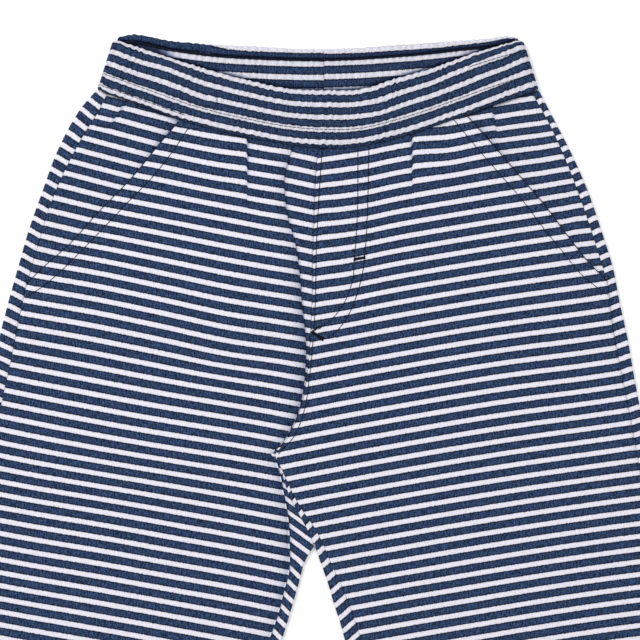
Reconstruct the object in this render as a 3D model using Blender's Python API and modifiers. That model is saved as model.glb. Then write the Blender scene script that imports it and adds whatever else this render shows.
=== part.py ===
"""Striped jersey pull-on shorts, laid flat on a table with the front up.

Seven cut pieces: a gathered waistband ring, two fronts with slanted pocket mouths, two pocket
facings and two backs, which wrap round the side and the inner leg on to the upper side.
The tables give every edge as it lies, in millimetres: "across" from the garment's middle line,
plus on the right of somebody looking down at it, and "drop" below the highest point of the waist.
"""

import math

import bmesh
import bpy
import numpy as np

MM = 0.001
HALF_LENGTH = 245.3  # half of the whole length, waist to hem, as it lies
WALL = 1.0  # one layer of jersey
BAND_WALL = 2.5  # two layers of jersey over the elastic
GAP = 0.3  # left open between layers
SEAM_GAP = 0.4  # left open at each seam, measured across, as most seams slant

# Rows and columns of each sheet
ROWS_POCKET = 6
ROWS_SIDE = 16
ROWS_CENTRE = 11
ROWS_BELOW = 1  # from the crotch to where the strips start
ROWS_CROTCH = 3
ROWS_LEG = 7
COLUMNS_FRONT = 14
COLUMNS_UNDER = 6
COLUMNS_STRIP = 2
COLUMNS_FACING = 5
FOLD_STEPS = 5
CENTRE_GRADING = 1.8  # above 1, the columns of a front crowd towards the centre seam

# Heights of the layers, to the middle of each wall
UNDER_LEVEL = WALL / 2
UPPER_LEVEL = UNDER_LEVEL + WALL + GAP
POCKET_RISE = WALL + GAP  # a front lies this much higher where a facing is under it
SIDE_LOFT, SIDE_REACH = 1.4, 18.0  # how far the cloth stands up at the side fold, and dies away
LEG_LOFT, LEG_REACH = 1.0, 12.0  # the same at the inner leg
WAIST_LOFT, WAIST_REACH = 1.0, 25.0  # the same below the waistband
POCKET_DIES = (190.0, 220.0)  # the drops between which the front comes down again
CROTCH_DROP = 281.4
STRIP_DROP = 294.0  # the strips between the two inseams start here
APEX_DROP = 342.4  # the legs part here

# The waistband
FRONT_GATHERS = 56
BACK_GATHERS = 56
GATHER_HEIGHT = 1.1
GATHER_DEPTH_BACK = 0.8
SCALLOP = 0.45  # how far the top edge rises between two gathers
BAND_BACK_LEVEL = BAND_WALL / 2
BAND_FRONT_LEVEL = BAND_WALL + GAP + BAND_WALL / 2
BAND_LOFT, BAND_REACH = 1.0, 15.0
BAND_JOIN = 8.0  # the across at which its two ends meet at the centre back

# Waist edges, read by across
FRONT_TOP = dict(
    across=[-133.5, -106, -78, -47, -17, 9, 33, 56, 82, 110, 141.5],
    drop=[3, 12, 21, 29.5, 36, 37.3, 36.5, 29.5, 22, 12, 3],
)
BACK_TOP = dict(
    across=[-133.5, -126, -92, -39, 8, 60, 115, 135, 141.5],
    drop=[3, 0.5, 4.7, 8.4, 9.7, 6.7, 2.7, 1.2, 3],
)
FRONT_SEAM = dict(
    across=[-144, -110, -82, -44, 5, 24, 60, 94, 126, 152],
    drop=[37, 49, 59, 68.5, 75.7, 75.5, 68.3, 57, 45.6, 37],
)
BACK_SEAM = dict(across=[-144, -70, 8, 80, 152], drop=[37, 44.5, 47.6, 44.5, 37])

# Long edges of each half, read by drop
LEFT = dict(
    side=-1,
    fold=dict(
        drop=[37, 56, 79, 104.5, 130, 155, 180, 197, 300, 405, 467],
        across=[-144, -158, -170.5, -180, -189, -196.3, -203.4, -207.7, -226.6, -246, -258],
    ),
    seam=dict(
        drop=[38.6, 62, 84, 111, 143, 167, 178, 210, 244, 300, 405, 468],
        across=[-139.4, -151, -162.5, -174.5, -184.4, -191.1, -193.6, -200.3, -207.7, -218.5, -238.5, -250],
    ),
    mouth=dict(
        drop=[57.1, 72.4, 95.8, 119.3, 140.7, 156.8, 167],
        across=[-88, -101.2, -120.6, -143.4, -162.8, -180.9, -191.1],
    ),
    inseam=dict(
        drop=[281.4, 294, 307.5, 325, 345, 361, 372, 387, 403, 490],
        across=[-25.1, -21.4, -18.8, -15.7, -14.9, -15.4, -18.5, -22.1, -27.7, -56],
    ),
    leg_fold=dict(
        drop=[342.4, 353, 365.5, 376.5, 388.6, 403.3, 491],
        across=[1.5, -4.7, -8.2, -11.4, -14.9, -19.4, -48],
    ),
    facing_reach=(12.0, 4.6),
)
RIGHT = dict(
    side=1,
    fold=dict(
        drop=[37, 58, 81, 105, 130, 155, 180, 204, 230, 246, 330, 405, 467],
        across=[152, 162.6, 174, 184.3, 192.7, 200.7, 205.7, 211.1, 215.7, 218.8, 233, 246, 258],
    ),
    seam=dict(
        drop=[38.6, 59, 82, 112, 140, 165, 193, 222, 253, 286, 405, 468],
        across=[147.5, 159, 169.5, 181, 190.3, 197.5, 201, 206.8, 213, 219, 238.5, 250],
    ),
    mouth=dict(
        drop=[53.9, 69.7, 91.1, 111.2, 136, 152.1, 165],
        across=[103, 117.3, 136, 153.4, 172.2, 184.9, 197.5],
    ),
    inseam=dict(
        drop=[281.4, 294, 307.5, 320, 328, 336, 352, 368.5, 385, 400, 490],
        across=[-25.1, -19, -12.8, -5.6, 0.2, 4.8, 11.8, 19.4, 26.1, 31.3, 60],
    ),
    leg_fold=dict(
        drop=[342.4, 347.1, 357.8, 369.8, 381.9, 394, 402, 491],
        across=[1.9, 3.4, 7.2, 11.3, 14.7, 18.8, 21, 48],
    ),
    facing_reach=(-12.0, 4.6),
)
CENTRE_FRONT = dict(
    drop=[75.7, 84, 137, 191, 230, 245, 263, 274, 281.4],
    across=[4.2, 3.4, 0.9, -0.4, -3.6, -6.2, -12.7, -18.8, -25.1],
)
CENTRE_BACK_TOP = dict(  # the part of it that shows between the two inseams
    drop=[294, 308.5, 322.3, 330.3, 336.3, 342.4],
    across=[-20.2, -15.4, -8.2, -3.8, -1, 1.7],
)
CENTRE_BACK_UNDER = dict(drop=[47.6, 342.4], across=[8, 1.7])

# The left front laps towards the centre seam in one long soft fold, steep on its right
LAP = dict(
    drop=[75, 84, 103, 122, 141, 161, 182, 204, 222, 242, 257],
    across=[-14, -18, -18, -16, -10.7, -8, -6.4, -4, -4, -6, -9.4],
    height=[1.2, 2.0, 2.2, 2.2, 2.2, 2.2, 2.0, 1.8, 1.5, 0.9, 0],
)
LAP_BACK, LAP_FACE = 13.0, 4.0  # widths of its long and its steep side

NAVY = (0.024, 0.044, 0.10, 1)


def read(table, key, value, out):
    """A column of a table at a value of another column, on a smooth curve through its rows."""
    xs = np.array(table[key], float)
    ys = np.array(table[out], float)
    slopes = np.gradient(ys, xs)
    i = int(np.clip(np.searchsorted(xs, value) - 1, 0, len(xs) - 2))
    step = xs[i + 1] - xs[i]
    t = float(np.clip((value - xs[i]) / step, 0, 1))
    return (
        ys[i] * (1 + 2 * t) * (1 - t) ** 2
        + slopes[i] * step * t * (1 - t) ** 2
        + ys[i + 1] * t * t * (3 - 2 * t)
        - slopes[i + 1] * step * t * t * (1 - t)
    )


def across_at(edge, drop):
    return read(edge, "drop", drop, "across")


def drop_at(edge, across):
    return read(edge, "across", across, "drop")


def ease(value, start, end):
    t = float(np.clip((value - start) / (end - start), 0, 1))
    return t * t * (3 - 2 * t)


def stretch(edge, start, end, steps, shift=0.0):
    """Plan points along a long edge between two drops, moved sideways by shift."""
    return [
        (across_at(edge, d) + shift, d) for d in np.linspace(start, end, steps + 1)
    ]


def last(edge):
    return edge["drop"][-1]


def patch(top, bottom, outer, inner, shares):
    """A grid between four edges. Top and bottom run from outer to inner, at the given shares."""
    top, bottom, outer, inner = (np.array(e, float) for e in (top, bottom, outer, inner))
    rows = []
    for j, (a, b) in enumerate(zip(outer, inner)):
        v = j / (len(outer) - 1)
        row = []
        for i, u in enumerate(shares):
            corners = (1 - v) * ((1 - u) * top[0] + u * top[-1]) + v * (
                (1 - u) * bottom[0] + u * bottom[-1]
            )
            row.append((1 - v) * top[i] + v * bottom[i] + (1 - u) * a + u * b - corners)
        rows.append(row)
    return rows


def line(start, end, shares):
    return [
        ((1 - u) * start[0] + u * end[0], (1 - u) * start[1] + u * end[1]) for u in shares
    ]


def along_waist(edge, start, end, shares, shift):
    points = []
    for u in shares:
        x = (1 - u) * start + u * end
        points.append((x, drop_at(edge, x) + shift))
    return points


def upper_level(half, across, drop):
    """Height of the upper layer: it stands up at the folds and below the waistband."""
    out = abs(across - across_at(half["fold"], drop))
    leg = abs(across - across_at(half["leg_fold"], max(drop, APEX_DROP)))
    below = max(drop - drop_at(FRONT_SEAM, across), 0.0)
    return (
        UPPER_LEVEL
        + SIDE_LOFT * math.exp(-out / SIDE_REACH)
        + LEG_LOFT * math.exp(-leg / LEG_REACH) * ease(drop, STRIP_DROP, APEX_DROP)
        + WAIST_LOFT * math.exp(-below / WAIST_REACH)
    )


def lap_height(across, drop):
    """The lapping fold of the left front: a long slope up from the left and a short one down."""
    if drop > LAP["drop"][-1]:
        return 0.0
    off = across - across_at(LAP, drop)
    height = read(LAP, "drop", drop, "height")
    width = LAP_FACE if off > 0 else LAP_BACK
    return height * math.exp(-((off / width) ** 2))


def front_level(half, across, drop):
    level = upper_level(half, across, drop)
    level += POCKET_RISE * (1 - ease(drop, *POCKET_DIES))
    if half["side"] < 0:
        level += lap_height(across, drop)
    return level


def place(across, drop, height):
    return (across * MM, (HALF_LENGTH - drop) * MM, height * MM)


def material(name, colour):
    made = bpy.data.materials.new(name)
    made.use_nodes = True
    shader = made.node_tree.nodes["Principled BSDF"]
    shader.inputs["Base Color"].default_value = colour
    shader.inputs["Roughness"].default_value = 0.9
    shader.inputs["Metallic"].default_value = 0.0
    return made


def finish(bm, name, collection):
    bmesh.ops.recalc_face_normals(bm, faces=bm.faces)
    mesh = bpy.data.meshes.new(name)
    bm.to_mesh(mesh)
    bm.free()
    mesh.shade_smooth()
    mesh.materials.append(material(name + "_jersey", NAVY))
    made = bpy.data.objects.new(name, mesh)
    collection.objects.link(made)
    return made


def cloth(name, grids, collection):
    """One piece of cloth from grids of points that share an edge, given its thickness."""
    bm = bmesh.new()
    for grid in grids:
        rows = [[bm.verts.new(place(*p)) for p in row] for row in grid]
        for upper, lower in zip(rows, rows[1:]):
            for i in range(len(upper) - 1):
                bm.faces.new((upper[i], lower[i], lower[i + 1], upper[i + 1]))
    bmesh.ops.remove_doubles(bm, verts=bm.verts, dist=0.02 * MM)
    made = finish(bm, name, collection)
    wall = made.modifiers.new("wall", "SOLIDIFY")
    wall.thickness = WALL * MM
    wall.offset = 0.0
    wall.use_even_offset = True
    return made


def front(half, name, collection):
    """From the pocket mouth and the side seam to the centre seam and the inseam."""
    side = half["side"]
    inward = -side * SEAM_GAP / 2
    shares = [1 - (1 - i / COLUMNS_FRONT) ** CENTRE_GRADING for i in range(COLUMNS_FRONT + 1)]
    mouth_start, mouth_end = half["mouth"]["drop"][0], last(half["mouth"])
    outer = stretch(half["mouth"], mouth_start, mouth_end, ROWS_POCKET, inward)
    outer += stretch(half["seam"], mouth_end, last(half["seam"]), ROWS_SIDE, inward)[1:]
    inner = stretch(CENTRE_FRONT, CENTRE_FRONT["drop"][0], CROTCH_DROP, ROWS_CENTRE, -inward)
    inner += stretch(half["inseam"], CROTCH_DROP, STRIP_DROP, ROWS_BELOW, -inward)[1:]
    inner += stretch(half["inseam"], STRIP_DROP, APEX_DROP, ROWS_CROTCH, -inward)[1:]
    inner += stretch(half["inseam"], APEX_DROP, last(half["inseam"]), ROWS_LEG, -inward)[1:]
    top = along_waist(FRONT_SEAM, outer[0][0], inner[0][0], shares, SEAM_GAP / 2)
    outer[0] = top[0]
    inner[0] = top[-1]
    bottom = line(outer[-1], inner[-1], shares)
    grid = [
        [(x, d, front_level(half, x, d)) for x, d in row]
        for row in patch(top, bottom, outer, inner, shares)
    ]
    return cloth(name, [grid], collection)


def facing(half, name, collection):
    """Under the pocket mouth: from the side seam to a hidden edge a little inside the mouth."""
    side = half["side"]
    inward = -side * SEAM_GAP / 2
    shares = [i / COLUMNS_FACING for i in range(COLUMNS_FACING + 1)]
    over, down = half["facing_reach"]
    rows = ROWS_POCKET + 1
    mouth = half["mouth"]
    inner = [
        (x + over, d + down)
        for x, d in stretch(mouth, mouth["drop"][0], last(mouth), rows)
    ]
    outer = stretch(half["seam"], half["seam"]["drop"][0], last(mouth) + 2 * down, rows, inward)
    top = along_waist(FRONT_SEAM, outer[0][0], inner[0][0], shares, SEAM_GAP / 2)
    outer[0] = top[0]
    inner[0] = top[-1]
    bottom = line(outer[-1], inner[-1], shares)
    grid = [
        [(x, d, upper_level(half, x, d)) for x, d in row]
        for row in patch(top, bottom, outer, inner, shares)
    ]
    return cloth(name, [grid], collection)


def fold(outline, drop, level, side, steps=FOLD_STEPS):
    """Points round a fold whose outermost line is at outline, from the lower to the upper layer."""
    radius = (level - UNDER_LEVEL) / 2
    centre = outline - side * (WALL / 2 + radius)
    points = []
    for k in range(steps + 1):
        angle = math.pi * k / steps
        points.append(
            (
                centre + side * radius * math.sin(angle),
                drop,
                UNDER_LEVEL + radius * (1 - math.cos(angle)),
            )
        )
    return points


def fold_at(half, edge, drop, side):
    """A fold on a long edge, its upper end at the height of the upper layer there."""
    outline = across_at(edge, drop)
    return fold(outline, drop, upper_level(half, outline, drop), side)


def strip(half, start, end, shares):
    """Upper-layer points in a row between a fold's upper end and a seam."""
    return [
        (x, d, upper_level(half, x, d)) for x, d in line(start[:2], end, shares[1:])
    ]


def back(half, name, collection):
    """Round the side fold, under the whole half, and from the legs' fork down round the inner leg."""
    side = half["side"]
    outward = side * SEAM_GAP / 2
    shares = [i / COLUMNS_UNDER for i in range(COLUMNS_UNDER + 1)]
    strip_shares = [i / COLUMNS_STRIP for i in range(COLUMNS_STRIP + 1)]
    mouth_end = last(half["mouth"])
    seam_start = half["seam"]["drop"][0]
    fold_start = half["fold"]["drop"][0]
    seam = stretch(half["seam"], seam_start, mouth_end, ROWS_POCKET, outward)
    seam += stretch(half["seam"], mouth_end, last(half["seam"]), ROWS_SIDE, outward)[1:]
    # The fold's rows keep the rows of the seam, shared out over its own length
    run = last(half["fold"]) - fold_start
    seam_run = last(half["seam"]) - seam_start
    fold_drops = [fold_start + (d - seam_start) * run / seam_run for _, d in seam]
    fold_drops[0] += SEAM_GAP / 2
    seam[0] = (seam[0][0], drop_at(FRONT_SEAM, seam[0][0]) + SEAM_GAP / 2)
    folds = [fold_at(half, half["fold"], d, side) for d in fold_drops]
    leg_drops = np.linspace(APEX_DROP, last(half["leg_fold"]), ROWS_LEG + 1)
    leg_folds = [fold_at(half, half["leg_fold"], d, -side) for d in leg_drops]

    rows_above = ROWS_POCKET + ROWS_SIDE - ROWS_LEG
    centre_start = CENTRE_BACK_UNDER["drop"][0]
    inner = stretch(CENTRE_BACK_UNDER, centre_start, APEX_DROP, rows_above, outward)[:-1]
    inner += [f[0][:2] for f in leg_folds]
    outer = [f[0][:2] for f in folds]
    top = along_waist(BACK_SEAM, outer[0][0], inner[0][0], shares, SEAM_GAP / 2)
    outer[0] = top[0]
    inner[0] = top[-1]
    folds[0] = [(x, top[0][1], z) for x, _, z in folds[0]]
    bottom = line(outer[-1], inner[-1], shares)
    under = [
        [(x, d, UNDER_LEVEL) for x, d in row]
        for row in patch(top, bottom, outer, inner, shares)
    ]
    side_wrap = [
        strip(half, f[-1], s, strip_shares)[::-1] + f[::-1] for f, s in zip(folds, seam)
    ]
    inseam = stretch(half["inseam"], STRIP_DROP, APEX_DROP, ROWS_CROTCH, -outward)[:-1]
    leg_seam = stretch(half["inseam"], APEX_DROP, last(half["inseam"]), ROWS_LEG, -outward)
    leg_wrap = [f + strip(half, f[-1], s, strip_shares) for f, s in zip(leg_folds, leg_seam)]
    centre = stretch(CENTRE_BACK_TOP, STRIP_DROP, APEX_DROP, ROWS_CROTCH, outward)[:-1]
    crotch = [
        [(x, d, upper_level(half, x, d)) for x, d in line(c, s, strip_shares)]
        for c, s in zip(centre, inseam)
    ]
    crotch.append(leg_wrap[0][FOLD_STEPS:])
    return cloth(name, [side_wrap, under, leg_wrap, crotch], collection)


def gather(turns, depth):
    """Height of the gathers after a number of turns, uneven but the same each time."""
    uneven = 0.78 + 0.22 * math.sin(1.7 * turns + 2.0 * math.sin(0.6 * turns))
    return depth * uneven * (0.5 - 0.5 * math.cos(2 * math.pi * turns))


def band_station(top, bottom, level, normal, raised, sunk, scallop):
    """One section of the band: its outer face top to bottom, then its inner face bottom to top."""
    section = []
    half_wall = BAND_WALL / 2
    top = (top[0], top[1] - scallop)
    for share, sign, extra in ((0, 1, raised), (0.5, 1, raised), (1, 1, raised),
                               (1, -1, -sunk), (0.5, -1, -sunk), (0, -1, -sunk)):
        x = (1 - share) * top[0] + share * bottom[0]
        d = (1 - share) * top[1] + share * bottom[1]
        off = sign * (half_wall + extra)
        section.append((x + normal[0] * off, d, level + normal[1] * off))
    return section


def waistband(name, collection):
    """From the centre back round the left side, across the front and back round the right."""
    radius = (BAND_FRONT_LEVEL + BAND_LOFT - BAND_BACK_LEVEL) / 2
    inset = radius + BAND_WALL / 2
    end_drop = FRONT_SEAM["drop"][0] - SEAM_GAP / 2
    ends = {
        -1: (FRONT_TOP["across"][0] + inset, FRONT_SEAM["across"][0] + inset),
        1: (FRONT_TOP["across"][-1] - inset, FRONT_SEAM["across"][-1] - inset),
    }

    def flat(top_edge, bottom_edge, start, end, steps, level, normal, wave, on_front):
        made = []
        for k in range(steps + 1):
            u = k / steps
            x_top = (1 - u) * start[0] + u * end[0]
            x_bottom = (1 - u) * start[1] + u * end[1]
            height = wave(u)
            top = (x_top, drop_at(top_edge, x_top))
            bottom = (x_bottom, drop_at(bottom_edge, x_bottom) - SEAM_GAP / 2)
            raised, sunk = (height, 0.0) if on_front else (0.0, height)
            share = height / GATHER_HEIGHT
            made.append(
                band_station(top, bottom, level(u), normal, raised, sunk, SCALLOP * share)
            )
        return made

    def turn(side, upwards):
        made = []
        x_top, x_bottom = ends[side]
        for k in range(1, FOLD_STEPS):
            angle = math.pi * k / FOLD_STEPS
            if not upwards:
                angle = math.pi - angle
            out = side * math.sin(angle)
            top = (x_top + out * radius, drop_at(FRONT_TOP, x_top))
            bottom = (x_bottom + out * radius, end_drop)
            level = BAND_BACK_LEVEL + radius * (1 - math.cos(angle))
            made.append(
                band_station(top, bottom, level, (out, -math.cos(angle)), 0.0, 0.0, 0.0)
            )
        return made

    def front_rise(u):
        width = ends[1][0] - ends[-1][0]
        near = min(u, 1 - u) * width
        return BAND_FRONT_LEVEL + BAND_LOFT * math.exp(-near / BAND_REACH)

    def front_wave(u):
        return gather(u * FRONT_GATHERS, GATHER_HEIGHT) * ease(min(u, 1 - u), 0, 0.01)

    def back_wave(u):
        return gather(u * BACK_GATHERS / 2, GATHER_DEPTH_BACK) * ease(min(u, 1 - u), 0, 0.01)

    join = (BAND_JOIN - GAP / 2, BAND_JOIN - SEAM_GAP / 2)
    other = (BAND_JOIN + GAP / 2, BAND_JOIN + SEAM_GAP / 2)
    stations = flat(BACK_TOP, BACK_SEAM, join, ends[-1], BACK_GATHERS,
                    lambda u: BAND_BACK_LEVEL, (0, -1), back_wave, False)
    stations += turn(-1, True)
    stations += flat(FRONT_TOP, FRONT_SEAM, ends[-1], ends[1], 4 * FRONT_GATHERS,
                     front_rise, (0, 1), front_wave, True)
    stations += turn(1, False)
    stations += flat(BACK_TOP, BACK_SEAM, ends[1], other, BACK_GATHERS,
                     lambda u: BAND_BACK_LEVEL, (0, -1), back_wave, False)

    bm = bmesh.new()
    loops = [[bm.verts.new(place(*p)) for p in s] for s in stations]
    for one, two in zip(loops, loops[1:]):
        for i in range(len(one)):
            j = (i + 1) % len(one)
            bm.faces.new((one[i], one[j], two[j], two[i]))
    for cap in (loops[0], loops[-1]):
        bm.faces.new((cap[0], cap[1], cap[4], cap[5]))
        bm.faces.new((cap[1], cap[2], cap[3], cap[4]))
    return finish(bm, name, collection)


def main():
    for item in list(bpy.data.objects):
        bpy.data.objects.remove(item)
    collection = bpy.data.collections.new("striped_shorts")
    bpy.context.scene.collection.children.link(collection)
    waistband("waistband", collection)
    front(LEFT, "front_left", collection)
    front(RIGHT, "front_right", collection)
    facing(LEFT, "pocket_facing_left", collection)
    facing(RIGHT, "pocket_facing_right", collection)
    back(LEFT, "back_left", collection)
    back(RIGHT, "back_right", collection)


main()
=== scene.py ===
import math

import bmesh
import bpy
import numpy as np
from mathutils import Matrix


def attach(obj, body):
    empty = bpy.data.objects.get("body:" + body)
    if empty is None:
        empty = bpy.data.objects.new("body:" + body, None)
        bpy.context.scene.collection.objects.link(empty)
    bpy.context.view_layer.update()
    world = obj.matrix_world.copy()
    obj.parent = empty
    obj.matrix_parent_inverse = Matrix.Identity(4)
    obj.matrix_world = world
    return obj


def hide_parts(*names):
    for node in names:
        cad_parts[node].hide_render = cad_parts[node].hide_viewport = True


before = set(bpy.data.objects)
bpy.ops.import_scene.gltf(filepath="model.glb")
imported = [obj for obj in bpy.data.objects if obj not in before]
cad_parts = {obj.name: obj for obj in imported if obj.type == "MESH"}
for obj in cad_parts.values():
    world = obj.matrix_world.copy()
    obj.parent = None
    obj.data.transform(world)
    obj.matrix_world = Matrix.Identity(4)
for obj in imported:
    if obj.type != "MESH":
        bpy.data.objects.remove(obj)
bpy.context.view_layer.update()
scene = bpy.context.scene
mm = 0.001

# Plan numbers are millimetres: across from the middle line, drop below the top of the waist
lay = dict(
    halfLength=245.3,
    wall=0.9,           # one layer of jersey
    under=0.5,          # middle of the lower layer
    upper=1.8,          # middle of the upper layer
    pocketRise=1.3,     # a front lies this much higher over a facing
    pocketDies=(190.0, 220.0),  # the drops where that starts to die away and is gone
    sideLoft=1.4, sideReach=18.0,
    legLoft=1.0, legReach=12.0,
    waistLoft=1.0, waistReach=25.0, waistDip=0.35,
    crotchDrop=281.4, stripDrop=294.0, apexDrop=342.4,
    seamGap=0.24,
    stripe=8.8,         # about one white and one navy stripe, where the cloth isn't seen or followed
)

# Waist edges, read by across
frontTop = dict(
    across=[-133.5, -106, -78, -47, -17, 9, 33, 56, 82, 110, 141.5],
    drop=[3, 12, 21, 29.5, 36, 37.3, 36.5, 29.5, 22, 12, 3],
)
backTop = dict(
    across=[-133.5, -126, -92, -39, 8, 60, 115, 135, 141.5],
    drop=[3, 0.5, 4.3, 7.7, 9.5, 6.7, 2.7, 1.2, 3],
)
frontSeam = dict(
    across=[-144, -110, -82, -44, 5, 24, 60, 94, 126, 152],
    drop=[37, 49, 59, 68.5, 75.7, 75.5, 68.3, 57, 45.6, 37],
)
backSeam = dict(across=[-144, -70, 8, 80, 152], drop=[37, 44.5, 47.6, 44.5, 37])

# Long edges of each half, read by drop
left = dict(
    name="left", side=-1,
    fold=dict(
        drop=[37, 42, 48.5, 55.6, 63.4, 70, 79, 104.5, 130, 155, 180, 197, 300, 405, 467],
        across=[
            -144.8, -149.2, -154.8, -159.5, -164, -167.4, -171.6, -181, -190, -197.2, -204.2, -208.6,
            -227.5, -246.9, -258.6,
        ],
    ),
    seam=dict(
        drop=[39.4, 45, 51.4, 58.3, 65.5, 84, 111, 143, 167, 178, 210, 244, 300, 405, 468],
        across=[
            -137.2, -140.2, -143.4, -147.9, -152.4, -162.5, -174.5, -184.4, -191.1, -193.6, -200.3, -207.7,
            -218.5, -238.5, -250,
        ],
    ),
    mouth=dict(
        drop=[57.1, 72.4, 95.8, 119.3, 140.7, 156.8, 167],
        across=[-88, -101.2, -120.6, -143.4, -162.8, -180.9, -191.1],
    ),
    inseam=dict(
        drop=[281.4, 294, 307.5, 325, 345, 361, 372, 387, 403, 490],
        across=[-25.1, -21.4, -18.8, -15.7, -14.9, -15.4, -18.5, -22.1, -27.7, -56],
    ),
    legFold=dict(
        drop=[342.4, 353, 365.5, 376.5, 388.6, 403.3, 491],
        across=[1.5, -4.7, -8.2, -11.4, -14.9, -19.4, -48],
    ),
    facingReach=(12.0, 4.6),
)
right = dict(
    name="right", side=1,
    fold=dict(
        drop=[37, 58, 81, 105, 130, 155, 180, 204, 230, 246, 330, 405, 467],
        across=[152.2, 163.2, 175, 185.4, 194, 201.8, 206.8, 212, 216.5, 219.5, 233.7, 246.8, 258.6],
    ),
    seam=dict(
        drop=[38.6, 59, 82, 112, 140, 165, 193, 222, 253, 286, 405, 468],
        across=[147.5, 159, 169.5, 181, 190.3, 197.5, 201, 206.8, 213, 219, 238.5, 250],
    ),
    mouth=dict(
        drop=[53.9, 69.7, 91.1, 111.2, 136, 152.1, 165],
        across=[103, 117.3, 136, 153.4, 172.2, 184.9, 197.5],
    ),
    inseam=dict(
        drop=[281.4, 294, 307.5, 320, 328, 336, 352, 368.5, 385, 400, 490],
        across=[-25.1, -19, -12.8, -5.6, 0.2, 4.8, 11.8, 19.4, 26.1, 31.3, 60],
    ),
    legFold=dict(
        drop=[342.4, 347.1, 357.8, 369.8, 381.9, 394, 402, 491],
        across=[1.9, 3.4, 7.2, 11.3, 14.7, 18.8, 21, 48],
    ),
    facingReach=(-12.0, 4.6),
)
centreFront = dict(
    drop=[75.7, 84, 137, 191, 230, 245, 263, 274, 281.4],
    across=[4.2, 3.4, 0.9, -0.4, -3.6, -6.2, -12.7, -18.8, -25.1],
)
centreBackTop = dict(
    drop=[294, 308.5, 322.3, 330.3, 336.3, 342.4],
    across=[-20.2, -15.4, -8.2, -3.8, -1, 1.7],
)
centreBackUnder = dict(drop=[47.6, 342.4], across=[8, 1.7])


def readTable(table, key, value, out):
    # a smooth curve through the rows, for one value or an array, level past both ends
    xs = np.array(table[key], float)
    ys = np.array(table[out], float)
    slopes = np.gradient(ys, xs)
    value = np.asarray(value, float)
    i = np.clip(np.searchsorted(xs, value) - 1, 0, len(xs) - 2)
    step = xs[i + 1] - xs[i]
    t = np.clip((value - xs[i]) / step, 0, 1)
    return (
        ys[i] * (1 + 2 * t) * (1 - t) ** 2
        + slopes[i] * step * t * (1 - t) ** 2
        + ys[i + 1] * t * t * (3 - 2 * t)
        - slopes[i + 1] * step * t * t * (1 - t)
    )


def acrossAt(edge, drop):
    return readTable(edge, "drop", drop, "across")


def dropAt(edge, across):
    return readTable(edge, "across", across, "drop")


def ease(value, start, end):
    t = np.clip((np.asarray(value, float) - start) / (end - start), 0, 1)
    return t * t * (3 - 2 * t)


def fade(value, start, end):
    return 1 - ease(value, start, end)


def faded(base, fades, value):
    # each amount is whole before its start and gone after its end
    return base + sum(by * fade(value, start, end) for by, start, end in fades)


def near(distance, reach):
    return np.exp(-np.maximum(distance, 0) / reach)


def bell(distance, width):
    return np.exp(-(distance / width) ** 2)


def rounded(distance, reach):
    # how far a round edge falls back: 1 at the edge itself, 0 from reach inwards
    return 1 - np.sqrt(1 - np.clip(1 - distance / reach, 0, 1) ** 2)


def wander(t, seed):
    # a slow uneven swing between about -1 and 1, the same on every run
    t = np.asarray(t, float)
    swing = np.sin(t + seed) + 0.7 * np.sin(2.31 * t + 1.7 * seed) + 0.45 * np.sin(4.13 * t + 2.9 * seed)
    return swing / 1.7


def runOf(line):
    # the way gone at each point of a line
    return np.concatenate([[0], np.cumsum(np.linalg.norm(np.diff(line, axis=0), axis=1))])


def stretchOf(edge, start, end, steps, shift=0.0):
    drops = np.linspace(start, end, steps + 1)
    return np.stack([acrossAt(edge, drops) + shift, drops], 1)


def panelPlan(topEdge, outer, inner, shares):
    # a grid of plan points below a waist edge, between two long edges that end at its height
    along = (1 - shares) * outer[0][0] + shares * inner[0][0]
    top = np.stack([along, dropAt(topEdge, along) + lay["seamGap"] / 2], 1)
    outer[0] = top[0]
    inner[0] = top[-1]
    u = shares[:, None]
    plan = (1 - u) * outer[:, None] + u * inner[:, None]
    # the waist edge's bow dies away down to the straight lower edge
    bow = top - plan[0]
    plan = plan + np.linspace(1, 0, len(outer))[:, None, None] * bow
    return plan[..., 0], plan[..., 1]


def creaseRise(creases, x, d):
    # soft troughs and ridges, each along its own bowed line and a little wider at its end
    total = np.zeros(np.shape(x))
    for c in creases:
        (x0, d0), (x1, d1) = c["ends"]
        run = math.hypot(x1 - x0, d1 - d0)
        along = ((x - x0) * (x1 - x0) + (d - d0) * (d1 - d0)) / run ** 2
        off = ((x - x0) * (d1 - d0) - (d - d0) * (x1 - x0)) / run
        off = off - c.get("bow", 0) * 4 * along * (1 - along)
        whole = ease(along, -0.1, 0.25) * fade(along, 0.7, 1.1)
        total = total + c["rise"] * whole * bell(off, c["width"] * (1 + 0.35 * along))
    return total


def offEdge(edge, x, d):
    return abs(x - acrossAt(edge, d))


def belowWaist(x, d):
    return np.maximum(d - dropAt(frontSeam, x), 0.0)


def upperLevel(half, x, d):
    # the upper layer stands up at the folds and below the waistband
    below = belowWaist(x, d)
    legs = near(offEdge(half["legFold"], x, d), lay["legReach"]) * ease(d, lay["stripDrop"], lay["apexDrop"])
    return (
        lay["upper"]
        + lay["sideLoft"] * near(offEdge(half["fold"], x, d), lay["sideReach"])
        + lay["legLoft"] * legs
        + lay["waistLoft"] * near(below, lay["waistReach"])
        - lay["waistDip"] * bell(below, 2.0)
    )


# the fullness below the waistband, in uneven gathers that die away down the panel
gathers = dict(apart=6.6, unevenApart=19, unevenDeep=13, starts=2.0, dies=9)


def underGathers(x, d, deep):
    g = gathers
    below = belowWaist(x, d)
    turns = x / g["apart"] + 0.5 * wander(x / g["unevenApart"], 2)
    size = deep * (0.6 + 0.4 * wander(x / g["unevenDeep"], 5))
    return size * np.sin(2 * math.pi * turns) * near(below, g["dies"]) * ease(below, 0, g["starts"])


def link(name, data):
    made = bpy.data.objects.new(name, data)
    scene.collection.objects.link(made)
    return made


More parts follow.
